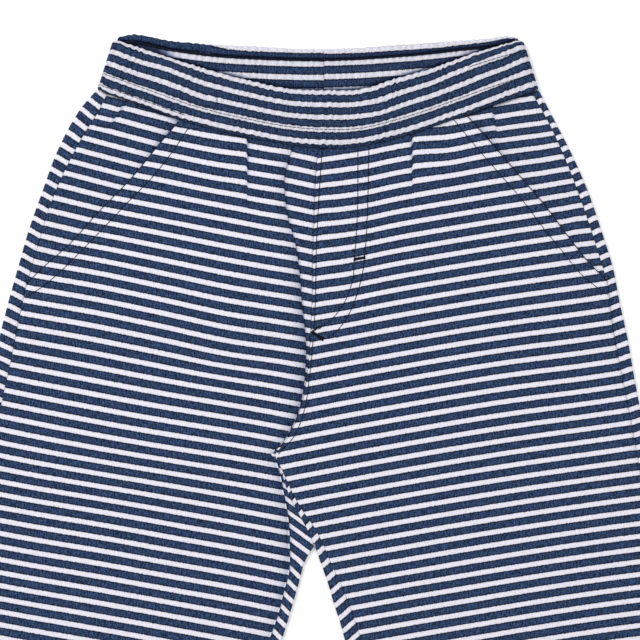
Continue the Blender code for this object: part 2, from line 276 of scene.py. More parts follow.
def clothFrom(name, grids, material, wall=None, even=True):
    # one piece of cloth from grids of (x, drop, height, across the knit, stripe count, shadow kept in it)
    verts, faces, uvs, shades = [], [], [], []
    start = 0
    for x, d, z, u, count, shade in grids:
        rows, cols = x.shape
        verts.append(np.stack([x, lay["halfLength"] - d, z], -1).reshape(-1, 3) * mm)
        uvs.append(np.stack([u, count], -1).reshape(-1, 2))
        # up to 1 the shadow is soft, and what is over goes to the deep one
        twoShades = [np.clip(shade - deep, 0, 1) + np.zeros(x.shape) for deep in (0, 1)]
        shades.append(np.stack(twoShades, -1).reshape(-1, 2))
        index = start + np.arange(rows * cols).reshape(rows, cols)
        quads = np.stack([index[:-1, :-1], index[1:, :-1], index[1:, 1:], index[:-1, 1:]], -1)
        faces.append(quads.reshape(-1, 4))
        start += rows * cols
    verts, faces, uvs, shades = (np.concatenate(part) for part in (verts, faces, uvs, shades))
    mesh = bpy.data.meshes.new(name)
    mesh.from_pydata(verts.tolist(), [], faces.tolist())
    for layer, values in (("cut", uvs), ("shade", shades)):
        mesh.uv_layers.new(name=layer).data.foreach_set("uv", values[faces.reshape(-1)].reshape(-1))
    bm = bmesh.new()
    bm.from_mesh(mesh)
    bmesh.ops.remove_doubles(bm, verts=bm.verts, dist=0.01 * mm)
    bmesh.ops.recalc_face_normals(bm, faces=bm.faces)
    bm.to_mesh(mesh)
    bm.free()
    mesh.shade_smooth()
    mesh.materials.append(material)
    piece = link(name, mesh)
    if wall:
        shell = piece.modifiers.new("wall", "SOLIDIFY")
        shell.thickness = wall * mm
        shell.offset = 0.0
        shell.use_even_offset = even
    return piece


print("camera, floor and light")

view = dict(middle=(5.36, 190.95), wide=428.8, lens=85.0, sensor=36.0, clothAt=4.0)
camera = link("camera", bpy.data.cameras.new("camera"))
camera.data.lens = view["lens"]
camera.data.sensor_width = view["sensor"]
camera.data.clip_end = 20
camera.location = (
    view["middle"][0] * mm,
    (lay["halfLength"] - view["middle"][1]) * mm,
    (view["wide"] * view["lens"] / view["sensor"] + view["clothAt"]) * mm,
)
scene.camera = camera

ground = dict(reach=6, sink=0.0003, colour=(0.95, 0.95, 0.95, 1))
floorMesh = bpy.data.meshes.new("floor")
corners = [(x * ground["reach"], y * ground["reach"], -ground["sink"])
           for x, y in ((-1, -1), (1, -1), (1, 1), (-1, 1))]
floorMesh.from_pydata(corners, [], [(0, 1, 2, 3)])
floor = link("floor", floorMesh)
floorPaint = bpy.data.materials.new("floorPaint")
floorPaint.use_nodes = True
floorShader = floorPaint.node_tree.nodes["Principled BSDF"]
floorShader.inputs["Base Color"].default_value = ground["colour"]
floorShader.inputs["Roughness"].default_value = 0.9
floorMesh.materials.append(floorPaint)

lights = [
    dict(name="keyLight", at=(-0.95, 0.75, 1.35), size=0.9, power=19),
    dict(name="fillLight", at=(1.2, -0.3, 1.6), size=1.6, power=11),
]
scene.view_settings.view_transform = "Standard"
for spec in lights:
    lamp = bpy.data.lights.new(spec["name"], "AREA")
    lamp.size = spec["size"]
    lamp.energy = spec["power"]
    holder = link(spec["name"], lamp)
    holder.location = spec["at"]
    x, y, z = spec["at"]
    # turned to face the middle of the cloth
    holder.rotation_euler = (math.acos(z / math.hypot(x, y, z)), 0, math.atan2(-y, -x) - math.pi / 2)
world = bpy.data.worlds.new("studio")
world.use_nodes = True
sky = world.node_tree.nodes["Background"]
sky.inputs["Color"].default_value = (1, 1, 1, 1)
sky.inputs["Strength"].default_value = 0.76
scene.world = world


print("materials")

jersey = dict(
    navy=(0.0188, 0.0370, 0.0865, 1),
    navyEdge=(0.0036, 0.0068, 0.025, 1),
    white=(0.625, 0.615, 0.68, 1),
    # colours of the painted shadow kept in the shade map: soft, then deep
    shadow=(0.20, 0.27, 0.42, 1),
    deep=(0.10, 0.11, 0.15, 1),
    whiteShare=0.37, ragged=0.09,
    rough=0.92, sheen=0.03, sheenRough=0.5, shine=0.08,
    bump=0.5, bumpHigh=0.0003,
    # melange: how far streaks and single loops swing, their mean, the darkest and the white's share
    streakBy=3.7, loopBy=4.2, mean=3.95, darkest=0.22, inWhite=0.1,
    fleckFrom=(0.69, 0.76), fleckShare=0.3,
    fineHigh=0.7, ribsHigh=0.5,
    # each noise: how fine across and along, in counts, then detail, roughness and seed
    edges=(11, 3, 1.0, 0.5, 3.0),
    streak=(8, 2.4, 2.0, 0.6, 7.0),
    loop=(10, 10, 1.0, 0.5, 17.0),
    fine=(24, 7, 2.0, 0.6, 11.0),
    fleck=(16, 8, 1.0, 0.5, 23.0),
    ribs=(12, 11, 1.0, 0.5, 31.0),
)
# thread colour, also used for the dark lines in the pocket mouths and under the back's turned edge, which
# stand partly for painted shadow
threadLook = dict(
    dark=(0.002, 0.003, 0.009, 1), light=(0.006, 0.009, 0.022, 1),
    twist=900.0, rough=0.8, shine=0.1,
)


def grey(value):
    return (value, value, value, 1)


def nodeTree(name):
    made = bpy.data.materials.new(name)
    made.use_nodes = True
    tree = made.node_tree

    def add(kind, sockets, **settings):
        # a node with its sockets fed from other nodes or set to values
        node = tree.nodes.new("ShaderNode" + kind)
        for setting, value in settings.items():
            setattr(node, setting, value)
        feed(node, sockets)
        return node

    def feed(node, sockets):
        for socket, value in sockets.items():
            if isinstance(value, (int, float, tuple)):
                node.inputs[socket].default_value = value
            else:
                tree.links.new(value, node.inputs[socket])

    def ramp(value, stops):
        node = add("ValToRGB", {0: value})
        elements = node.color_ramp.elements
        while len(elements) < len(stops):
            elements.new(0.5)
        for element, (position, colour) in zip(elements, stops):
            element.position = position
            element.color = colour
        return node.outputs[0]

    return made, tree.nodes["Principled BSDF"], add, feed, ramp


def knit(name, look, darker=1.0):
    # striped jersey: the stripe count is the second number of the cut map
    made, shader, add, feed, ramp = nodeTree(name)

    def calc(kind, *values):
        return add("Math", dict(enumerate(values)), operation=kind).outputs[0]

    def mapOf(layer):
        return add("SeparateXYZ", {0: add("UVMap", {}, uv_map=layer).outputs[0]}).outputs

    def noise(kind):
        acrossScale, alongScale, detail, rough, seed = look[kind]
        spot = {0: calc("MULTIPLY", across, acrossScale), 1: calc("MULTIPLY", count, alongScale), 2: seed}
        spot = add("CombineXYZ", spot).outputs[0]
        fed = {"Vector": spot, "Scale": 1.0, "Detail": detail, "Roughness": rough}
        return add("TexNoise", fed).outputs["Fac"]

    def mix(kind, share, a, b):
        return add("Mix", {0: share, 6: a, 7: b}, data_type="RGBA", blend_type=kind).outputs[2]

    across, count, _ = mapOf("cut")
    ragged = calc("MULTIPLY", calc("SUBTRACT", noise("edges"), 0.5), look["ragged"])
    # well above nothing, so that a fraction never turns round
    counted = calc("ADD", calc("ADD", count, ragged), 100.5)
    # twice the distance from the middle of a white stripe: 1 is half way to the next
    fromWhite = calc("MULTIPLY", calc("ABSOLUTE", calc("SUBTRACT", calc("FRACT", counted), 0.5)), 2.0)
    edge = look["whiteShare"]
    base = ramp(
        fromWhite,
        [
            (0.0, look["white"]),
            (edge - 0.06, look["white"]),
            (edge + 0.06, look["navyEdge"]),
            (edge + 0.14, look["navyEdge"]),
            (edge + 0.26, look["navy"]),
            (1.0, look["navy"]),
        ],
    )
    # melange: light and dark loops, strong in the navy and faint in the white
    inNavy = ramp(fromWhite, [(edge - 0.06, grey(look["inWhite"])), (edge + 0.06, grey(1))])
    streak = calc("MULTIPLY", noise("streak"), look["streakBy"])
    loop = calc("MULTIPLY", noise("loop"), look["loopBy"])
    swing = calc("MULTIPLY", calc("SUBTRACT", calc("ADD", streak, loop), look["mean"]), inNavy)
    light = calc("MULTIPLY", calc("MAXIMUM", calc("ADD", swing, 1.0), look["darkest"]), darker)
    tint = add("CombineColor", {0: light, 1: light, 2: light})
    colour = mix("MULTIPLY", 1.0, base, tint.outputs[0])
    none, full = look["fleckFrom"]
    flecks = ramp(noise("fleck"), [(0.0, grey(0)), (none, grey(0)), (full, grey(1))])
    colour = mix("MIX", calc("MULTIPLY", flecks, look["fleckShare"]), colour, look["navyEdge"])
    # painted shadow from the shade map: first towards the soft shadow colour, then towards the deep one
    soft, deep, _ = mapOf("shade")
    colour = mix("MULTIPLY", soft, colour, look["shadow"])
    colour = mix("MULTIPLY", deep, colour, look["deep"])
    fine = calc("MULTIPLY", noise("fine"), look["fineHigh"])
    ribs = calc("MULTIPLY", noise("ribs"), look["ribsHigh"])
    height = calc("ADD", fine, ribs)
    bump = add("Bump", {"Strength": look["bump"], "Distance": look["bumpHigh"], "Height": height})
    feed(shader, {
        "Base Color": colour,
        "Normal": bump.outputs[0],
        "Roughness": look["rough"],
        "Sheen Weight": look["sheen"],
        "Sheen Roughness": look["sheenRough"],
        "Specular IOR Level": look["shine"],
    })
    return made


def sewingThread(look):
    made, shader, add, feed, ramp = nodeTree("thread")
    twist = add("TexNoise", {"Scale": look["twist"]}).outputs["Fac"]
    colour = ramp(twist, [(0.0, look["dark"]), (1.0, look["light"])])
    feed(shader, {"Base Color": colour, "Roughness": look["rough"], "Specular IOR Level": look["shine"]})
    return made


stripedJersey = knit("stripedJersey", jersey)
bandJersey = knit("bandJersey", jersey, 0.92)
pocketJersey = knit("pocketJersey", jersey, 0.97)
thread = sewingThread(threadLook)


# How the stripes run on each piece: the count goes up by one from a white stripe to the next
stripes = dict(
    left=dict(pitch=8.81, slope=-0.188, curve=0.0, at=-21.44, first=77.4),
    strip=dict(pitch=8.81, slope=-0.21, curve=0.0, first=83.75),
    right=dict(pitch=8.71, slope=0.19, curve=0.000134, at=12.06, first=83.1),
)
# Where a crease takes up cloth, the stripes past it lie lower or higher
slides = dict(
    left=dict(ends=((-43.5, 60), (-43.5, 122)), by=0.3, soft=0.5, reach=60, towards=-1),
    right=dict(ends=((67.0, 64), (67.7, 112)), by=0.34, soft=0.9, reach=60, towards=1),
    facingLeft=dict(ends=((-124.5, 44), (-140.5, 68)), by=-0.23, soft=0.5, reach=200, towards=-1),
    facingRight=dict(ends=((119.3, 40), (127.0, 80)), by=-0.2, soft=0.7, reach=200, towards=1),
)
# Where the cloth lies a little drawn down (plus) or up, in millimetres, fading away round each place
drawn = dict(
    left=[
        dict(at=(-130, 270), wide=70, above=60, below=35, by=2.2),
        dict(at=(-200, 300), wide=50, above=110, below=150, by=1.4),
        dict(at=(-58, 212), wide=32, above=60, below=18, by=1.7),
        dict(at=(-65, 90), wide=25, above=30, below=18, by=1.4),
        dict(at=(-28, 90), wide=15, above=40, below=40, by=0.7),
        dict(at=(-55, 362), wide=30, above=35, below=35, by=-0.5),
        dict(at=(-147, 160), wide=34, above=34, below=62, by=-0.85),
    ],
    right=[
        dict(at=(185, 215), wide=42, above=60, below=60, by=1.4),
        dict(at=(92, 78), wide=15, above=30, below=16, by=1.5),
        dict(at=(200, 400), wide=70, above=70, below=90, by=-0.9),
        dict(at=(5, 118), wide=9, above=35, below=30, by=-1.15),
        dict(at=(36, 112), wide=14, above=60, below=55, by=0.8),
        dict(at=(22, 168), wide=12, above=30, below=26, by=0.7),
    ],
)
# The backs' strips on top: how steeply the stripes leave the seam and how far they miss the front's.
# Each (by, start, end) is whole above the start's drop and gone below the end's
strips = dict(
    left=dict(
        seam=dict(
            slope=0.45, steeper=[(0.15, 120, 240), (0.2, 50, 80)], miss=0.0,
            misses=[(0.06, 170, 200), (-0.06, 90, 120), (-0.14, 55, 95), (-0.16, 50, 62), (-0.13, 42, 49)],
        ),
        inseam=dict(slope=0.97, steeper=[(-0.25, 345, 365)], miss=-0.63, misses=[(0.25, 330, 362)]),
    ),
    right=dict(
        seam=dict(
            slope=0.36, steeper=[(0.14, 120, 240), (0.17, 38, 70)], miss=-0.08, misses=[(-0.32, 55, 115)],
        ),
        inseam=dict(slope=0.85, steeper=[(0.3, 300, 380)], miss=-0.04, misses=[(0.3, 300, 400)]),
    ),
)


def stripeCount(kind, out, d):
    s = stripes[kind]
    return (d + s["slope"] * out - s["curve"] * out * out - s["first"]) / s["pitch"]


def slideBy(kind, x, d):
    s = slides[kind]
    (x0, d0), (x1, d1) = s["ends"]
    past = (x - x0 - (x1 - x0) * (d - d0) / (d1 - d0)) * s["towards"]
    whole = ease(past, -s["soft"], s["soft"]) * near(past, s["reach"])
    return s["by"] * whole * fade(d, d0 + 0.3 * (d1 - d0), d1)


def drawnDown(kind, x, d):
    total = 0.0
    for p in drawn[kind]:
        reach = np.where(d < p["at"][1], p["above"], p["below"])
        total = total + p["by"] * bell(x - p["at"][0], p["wide"]) * bell(d - p["at"][1], reach)
    return total


def topAtCentre(x, d):
    # beside the centre seam the topmost stripe is drawn up into the waist
    return 0.2 * fade(d, 75.5, 79) * near(abs(x - 4), 8)


def frontCount(half, x, d):
    kind = half["name"]
    level = d - drawnDown(kind, x, d)
    slide = slideBy(kind, x, d)
    if kind == "right":
        # a little closer together down the leg
        level = level + 0.01 * np.maximum(d - 290, 0)
        slide = slide + topAtCentre(x, d)
    return stripeCount(kind, x - stripes[kind]["at"], level) + slide


def lapStripCount(x, d):
    # the left front's cloth between its fold and the centre seam
    slide = topAtCentre(x, d) - 0.1 * ease(d, 235, 250) - 0.22 * ease(d, 255, 275)
    return stripeCount("strip", x - acrossAt(centreFront, d), d) + slide


def facingCount(half, x, d):
    out = x - stripes[half["name"]]["at"]
    if half["side"] < 0:
        # steeper than on the front, and less so further down
        rise = 0.07 * (1 - 0.45 * ease(d, 88, 125)) * (acrossAt(half["mouth"], d) - x)
        return stripeCount("left", out, d + rise) + slideBy("facingLeft", x, d) - 0.29 * fade(d, 60, 124)
    # bowed flatter towards the side
    drop = 0.0005 * np.maximum(x - 120, 0) ** 2 * (1 - 0.5 * ease(x, 168, 178))
    slide = slideBy("facingRight", x, d) + 0.31 - 0.11 * fade(x, 150, 172)
    return stripeCount("right", out, d - drop) + slide


def stripCount(half, which, x, d):
    # from each point of a wrapped strip, back along its stripe to the drop where that meets the seam
    strip = strips[half["name"]][which]
    slope = faded(strip["slope"], strip["steeper"], d)
    at = d
    for _ in range(10):
        at = 0.5 * at + 0.5 * (d + half["side"] * slope * (x - acrossAt(half[which], at)))
    seamX = acrossAt(half[which], at)
    if which == "inseam":
        count = frontCount(half, seamX, at)
    else:
        count = stripeCount(half["name"], seamX - stripes[half["name"]]["at"], at)
    return count + faded(strip["miss"], strip["misses"], at)


def acrossKnit(x):
    # in stripes, so that the loops are as wide as they are long
    return x / lay["stripe"]


print("fronts")

fronts = dict(
    rowsMouth=66, rowsSide=176, rowsCentre=121, rowsBelow=11, rowsFork=33, rowsLeg=77,
    columns=140,
    gathers=0.45,
    mouthDip=0.5, mouthRound=1.2, gape=1.3, gapeReach=9,
    seamDip=0.35, seamRound=2.0,
    # the left front's points across: up to the fold, round each turn, back between them and on
    fineColumns=800, main=116, turn=5, back=6, over=16,
    lapUnder=8.0, lapLayer=1.1, lapRoll=0.8, lapBulge=0.9, rollReach=9, bulgeWide=7, liftReach=13,
    # where the fold opens out into the inseam, and how far before it the fold's points then lie
    lapJoins=(272, 286), belowLap=3.2, lapClose=0.15,
    # shade under the waistband, in the crease below it and under the left front's fold
    seamDark=0.4, seamReach=1.2,
    pleatWide=0.8, pleatReach=2.0,
    pleats=dict(
        left=dict(across=-43.2, dark=0.75, beside=0.3, dies=(80, 120)),
        right=dict(across=67.0, dark=0.65, beside=0.2, dies=(74, 112)),
    ),
    lapDark=0.25, lapDarker=0.4, lapDarkens=(120, 190), lapDies=(372, 400), lapReach=4.2, lapPast=0.6,
    underDark=0.6, underReach=0.9,
)
lap = dict(
    drop=[75, 85, 94, 103, 122, 141, 161, 182, 204, 222, 242, 252, 263, 274, 281.4, 290],
    across=[
        -14, -17, -19.3, -19.4, -17.2, -11.9, -9.2, -7.6, -5.2, -5.3, -7.6, -9.9, -14.0, -19.8, -25.6, -23.2,
    ],
    full=[0.6, 0.85, 1, 1, 1, 1, 1, 1, 1, 0.95, 0.85, 0.75, 0.55, 0.35, 0.15, 0],
)
frontCreases = dict(
    left=[
        dict(ends=((-43.5, 60), (-42.5, 125)), rise=-0.7, width=1.6),
        dict(ends=((-60, 62), (-66, 96)), rise=-0.35, width=2.2, bow=1),
        dict(ends=((-30, 66), (-27, 102)), rise=-0.4, width=2.0),
        dict(ends=((-150, 250), (-60, 300)), rise=0.5, width=10, bow=6),
        dict(ends=((-190, 230), (-120, 252)), rise=-0.35, width=7, bow=3),
        dict(ends=((-70, 320), (-150, 400)), rise=0.45, width=9, bow=-5),
        dict(ends=((-30, 292), (-90, 318)), rise=-0.5, width=4.5, bow=3),
    ],
    right=[
        dict(ends=((67, 62), (68, 116)), rise=-0.75, width=1.6),
        dict(ends=((88, 58), (95, 84)), rise=-0.35, width=2.2, bow=-1),
        dict(ends=((30, 74), (27, 100)), rise=-0.3, width=2.4),
        dict(ends=((40, 268), (120, 240)), rise=0.45, width=9, bow=-5),
        dict(ends=((170, 260), (90, 300)), rise=-0.35, width=8, bow=4),
        dict(ends=((40, 330), (130, 410)), rise=0.45, width=10, bow=5),
        dict(ends=((-8, 296), (50, 322)), rise=-0.45, width=4.5, bow=-3),
    ],
)


def seamShade(x, d):
    return fronts["seamDark"] * near(d - dropAt(frontSeam, x), fronts["seamReach"])


def frontShade(half, x, d):
    # soft shadow at the waist seam, at the crease below it and where the left front folds over
    f = fronts
    pleat = f["pleats"][half["name"]]
    off = -half["side"] * (x - pleat["across"])
    folded = pleat["dark"] * bell(off, f["pleatWide"])
    folded = folded + pleat["beside"] * near(off, f["pleatReach"]) * (off > 0)
    shade = seamShade(x, d) + folded * fade(d, *pleat["dies"])
    if half["side"] < 0:
        edge = np.where(d < f["lapJoins"][1], acrossAt(lap, d), acrossAt(half["inseam"], d))
        dark = f["lapDark"] * fade(d, *f["lapDies"]) + f["lapDarker"] * ease(d, *f["lapDarkens"])
        shade = shade + dark * near(edge - x, f["lapReach"]) * (x < edge + f["lapPast"])
    return shade


def frontHeight(half, x, d):
    # the front's surface, but for the lapping fold
    f = fronts
    mouthEnd = half["mouth"]["drop"][-1]
    onMouth = fade(d, mouthEnd - 4, mouthEnd + 2)
    onCentre = fade(d, 276, 282)
    mouthOff = offEdge(half["mouth"], x, d)
    dips = (
        (1 - onMouth) * bell(offEdge(half["seam"], x, d), f["seamRound"])
        + onCentre * bell(offEdge(centreFront, x, d), f["seamRound"])
        + (1 - onCentre) * bell(offEdge(half["inseam"], x, d), f["seamRound"])
    )
    return (
        upperLevel(half, x, d)
        + lay["pocketRise"] * fade(d, *lay["pocketDies"])
        + underGathers(x, d, f["gathers"])
        + creaseRise(frontCreases[half["name"]], x, d)
        - f["mouthDip"] * onMouth * bell(mouthOff, f["mouthRound"])
        + f["gape"] * onMouth * fade(d, 60, 110) * near(mouthOff, f["gapeReach"])
        - f["seamDip"] * dips
    )


def frontPlan(half, shares):
    f = fronts
    inward = -half["side"] * lay["seamGap"] / 2
    mouth, seam, inseam = half["mouth"], half["seam"], half["inseam"]
    outer = np.concatenate([
        stretchOf(mouth, mouth["drop"][0], mouth["drop"][-1], f["rowsMouth"], inward),
        stretchOf(seam, mouth["drop"][-1], seam["drop"][-1], f["rowsSide"], inward)[1:],
    ])
    inner = np.concatenate([
        stretchOf(centreFront, centreFront["drop"][0], lay["crotchDrop"], f["rowsCentre"], -inward),
        stretchOf(inseam, lay["crotchDrop"], lay["stripDrop"], f["rowsBelow"], -inward)[1:],
        stretchOf(inseam, lay["stripDrop"], lay["apexDrop"], f["rowsFork"], -inward)[1:],
        stretchOf(inseam, lay["apexDrop"], inseam["drop"][-1], f["rowsLeg"], -inward)[1:],
    ])
    return panelPlan(frontSeam, outer, inner, shares)


def makeFrontRight():
    # columns closer together towards the centre
    shares = 1 - (1 - np.linspace(0, 1, fronts["columns"] + 1)) ** 1.25
    x, d = frontPlan(right, shares)
    grid = (x, d, frontHeight(right, x, d), acrossKnit(x), frontCount(right, x, d), frontShade(right, x, d))
    return clothFrom("frontRight", [grid], stripedJersey, lay["wall"])


def lappedRow(x, d, lapX, full):
    # one row of the left front: up to the fold, back under it, and on again to the centre seam
    f = fronts
    fine = np.linspace(0, 1, f["fineColumns"] + 1)
    turn = math.pi * np.arange(1, f["turn"] + 1) / (f["turn"] + 1)
    inFold = np.arange(1, 2 * f["turn"] + f["back"] + 1)
    radius = f["lapLayer"] / 2
    width = abs(x[-1] - x[0])

    # the share at which the row crosses the fold's edge
    past = x - lapX
    k = int(np.argmax(past > 0)) if (past > 0).any() else f["fineColumns"]
    edge = fine[k]
    if 0 < k < f["fineColumns"]:
        edge = fine[k - 1] + (fine[k] - fine[k - 1]) * past[k - 1] / (past[k - 1] - past[k])
    amount = float(np.clip(np.interp(edge, fine, full), 0, 1))
    edge = min(edge, 1 - (0.6 + 2.6 * (1 - amount)) / width)

    # where there is no fold, its points lie close together along the row instead
    close = f["lapClose"] * (1 - amount)
    folded = np.concatenate([
        radius * np.sin(turn),
        np.linspace(0, -f["lapUnder"], f["back"] + 2)[1:-1],
        -f["lapUnder"] - radius * np.sin(turn),
    ])
    last = -amount * f["lapUnder"] + close * (len(inFold) + 1)
    toFold = edge * (1 - (1 - np.linspace(0, 1, f["main"] + 1)) ** 1.3)
    share = np.concatenate([
        toFold,
        edge + (amount * folded + close * inFold) / width,
        np.linspace(edge + last / width, 1, f["over"]),
    ])
    rowX = np.interp(share, fine, x)
    rowD = np.interp(share, fine, d)

    toEdge = (edge - toFold) * width
    lift = 2 * f["lapLayer"] * fade(toEdge, f["lapUnder"] - 2, f["lapUnder"] + f["liftReach"])
    bulge = f["lapBulge"] * bell(toEdge - f["rollReach"], f["bulgeWide"])
    above = amount * np.concatenate([
        lift + bulge - f["lapRoll"] * rounded(toEdge, f["rollReach"]),
        3 * radius + radius * np.cos(turn) - f["lapRoll"] * (1 - turn / math.pi),
        np.full(f["back"], 2 * radius),
        radius + radius * np.cos(turn),
        np.zeros(f["over"]),
    ])

    count = frontCount(left, rowX, rowD)
    strip = lapStripCount(rowX, rowD)
    strip = strip + (count - strip) * ease(rowD, *f["lapJoins"])
    under = np.concatenate([np.zeros(f["main"] + 1), inFold / (len(inFold) + 1), np.ones(f["over"])])
    count = count * (1 - under) + strip * under
    knitX = rowX + 2 * f["lapUnder"] * amount * under
    behind = np.arange(len(rowX)) > f["main"] + 2 * f["turn"] + f["back"]
    pastFold = rowX - rowX[f["main"]] - f["underReach"]
    underShade = f["underDark"] * amount * near(pastFold, f["underReach"]) + seamShade(rowX, rowD)
    shade = np.where(behind, underShade, frontShade(left, rowX, rowD))
    return rowX, rowD, frontHeight(left, rowX, rowD) + above, acrossKnit(knitX), count, shade


def makeFrontLeft():
    x, d = frontPlan(left, np.linspace(0, 1, fronts["fineColumns"] + 1))
    end = lap["drop"][-1]
    lapX = np.where(d <= end, acrossAt(lap, d), acrossAt(left["inseam"], d) - fronts["belowLap"])
    full = readTable(lap, "drop", d, "full") * (d < end)
    rows = [lappedRow(*row) for row in zip(x, d, lapX, full)]
    grid = [np.array(values) for values in zip(*rows)]
    return clothFrom("frontLeft", [grid], stripedJersey, lay["wall"], even=False)


frontRight = makeFrontRight()
frontLeft = makeFrontLeft()


print("pocket facings")

facings = dict(rows=70, columns=44, gathers=0.4, seamDip=0.45, seamRound=2.2)
facingCreases = dict(
    left=[
        dict(ends=((-127, 48), (-139, 62)), rise=-0.5, width=1.6),
        dict(ends=((-112, 52), (-122, 74)), rise=-0.35, width=2.0),
        dict(ends=((-150, 70), (-166, 104)), rise=0.35, width=4.0),
    ],
    right=[
        dict(ends=((120, 52), (125, 78)), rise=-0.6, width=1.8),
        dict(ends=((135, 46), (142, 66)), rise=-0.35, width=2.0),
        dict(ends=((158, 74), (172, 108)), rise=0.35, width=4.0),
    ],
)


def facingShade(half, x, d):
    # the mouth stands open at its top, so the facing lies in shadow there
    off = offEdge(half["mouth"], x, d)
    shade = seamShade(x, d) + 0.3 * near(off, 0.9)
    if half["side"] < 0:
        crease = x + 124.5 + (d - 44) * 2 / 3
        return shade + 0.6 * bell(crease, 1.1) * fade(d, 54, 66) + 0.8 * fade(d, 66, 98) * near(off, 4.0)
    crease = x - 119.3 - (d - 40) * 0.19
    shade = shade + 0.5 * bell(crease, 1.0) * fade(d, 56, 70)
    return shade + 0.62 * ease(d, 56, 64) * fade(d, 70, 92) * near(off, 4.5)


def makeFacing(half, name):
    f = facings
    mouth, seam = half["mouth"], half["seam"]
    over, down = half["facingReach"]
    inward = -half["side"] * lay["seamGap"] / 2
    inner = stretchOf(mouth, mouth["drop"][0], mouth["drop"][-1], f["rows"]) + np.array([over, down])
    outer = stretchOf(seam, seam["drop"][0], mouth["drop"][-1] + 2 * down, f["rows"], inward)
    x, d = panelPlan(frontSeam, outer, inner, np.linspace(0, 1, f["columns"] + 1))
    z = upperLevel(half, x, d) + underGathers(x, d, f["gathers"])
    z = z + creaseRise(facingCreases[half["name"]], x, d)
    z = z - f["seamDip"] * bell(offEdge(seam, x, d), f["seamRound"])
    grid = (x, d, z, acrossKnit(x), facingCount(half, x, d), facingShade(half, x, d))
    return clothFrom(name, [grid], pocketJersey, lay["wall"])


facingLeft = makeFacing(left, "facingLeft")
facingRight = makeFacing(right, "facingRight")


print("backs")

backs = dict(
    rowsMouth=48, rowsSide=128, rowsFork=24, rowsLeg=56,
    under=60, strip=12, turn=9,
    foldInset=0.5, topInset=0.2,
    seamDip=0.5, forkDip=0.4, seamRound=2.2,
    creaseMost=0.35,
    # shade where the fronts lie over the inner leg, and where the two halves meet above it
    legDark=dict(left=0.55, right=0.0), forkDarker=0.2,
)
backCreases = dict(
    left=[
        dict(ends=((-60, 52), (-64, 110)), rise=0.35, width=2.0),
        dict(ends=((-110, 50), (-118, 96)), rise=0.3, width=2.2),
        dict(ends=((-20, 200), (-120, 250)), rise=0.4, width=8, bow=5),
        dict(ends=((-20, 300), (-110, 330)), rise=0.4, width=6, bow=-4),
    ],
    right=[
        dict(ends=((70, 52), (73, 108)), rise=0.35, width=2.0),
        dict(ends=((118, 48), (127, 92)), rise=0.3, width=2.2),
        dict(ends=((25, 210), (130, 246)), rise=0.4, width=8, bow=-5),
        dict(ends=((30, 304), (112, 332)), rise=0.4, width=6, bow=4),
    ],
)


def foldRound(half, edge, drops, side):
    # points (across, drop, height) round a fold, from the lower layer to the upper one
    outline = acrossAt(edge, drops)
    radius = (upperLevel(half, outline, drops)[:, None] - lay["under"]) / 2
    angle = np.linspace(0, math.pi, backs["turn"] + 1)
    x = outline[:, None] + side * (radius * (np.sin(angle) - 1) - backs["foldInset"])
    z = lay["under"] + radius * (1 - np.cos(angle))
    return np.stack([x, np.repeat(drops[:, None], len(angle), 1), z], -1)


def between(start, end, shares):
    return start[:, None, :2] * (1 - shares)[:, None] + end[:, None, :2] * shares[:, None]


def wrapRound(half, which, seamLine, fold, side):
    # a strip on top from the seam to the fold, then round the fold to the lower layer
    b = backs
    shares = np.linspace(0, 1, b["strip"] + 1)
    x, d = np.moveaxis(between(seamLine, fold[:, -1], shares), -1, 0)
    z = upperLevel(half, x, d) - b["seamDip"] * bell(offEdge(half[which], x, d), b["seamRound"])
    z = z - (z[:, -1:] - fold[:, -1:, 2]) * shares ** 4
    count = stripCount(half, which, x, d)
    slope = (count[:, -1:] - count[:, -2:-1]) / (x[:, -1:] - x[:, -2:-1])
    turned = fold[:, -2::-1]
    steps = np.linalg.norm(np.diff(fold[:, ::-1, ::2], axis=1), axis=2)
    cloth = side * np.cumsum(steps, 1)
    # round the side the stripes keep their slope as seen from above, round the leg along the cloth
    run = turned[..., 0] - x[:, -1:] if which == "seam" else cloth
    return [
        np.concatenate(pair, 1)
        for pair in (
            (x, turned[..., 0]),
            (d, turned[..., 1]),
            (z, turned[..., 2]),
            (acrossKnit(x), acrossKnit(x[:, -1:] + cloth)),
            (count, count[:, -1:] + slope * run),
        )
    ]


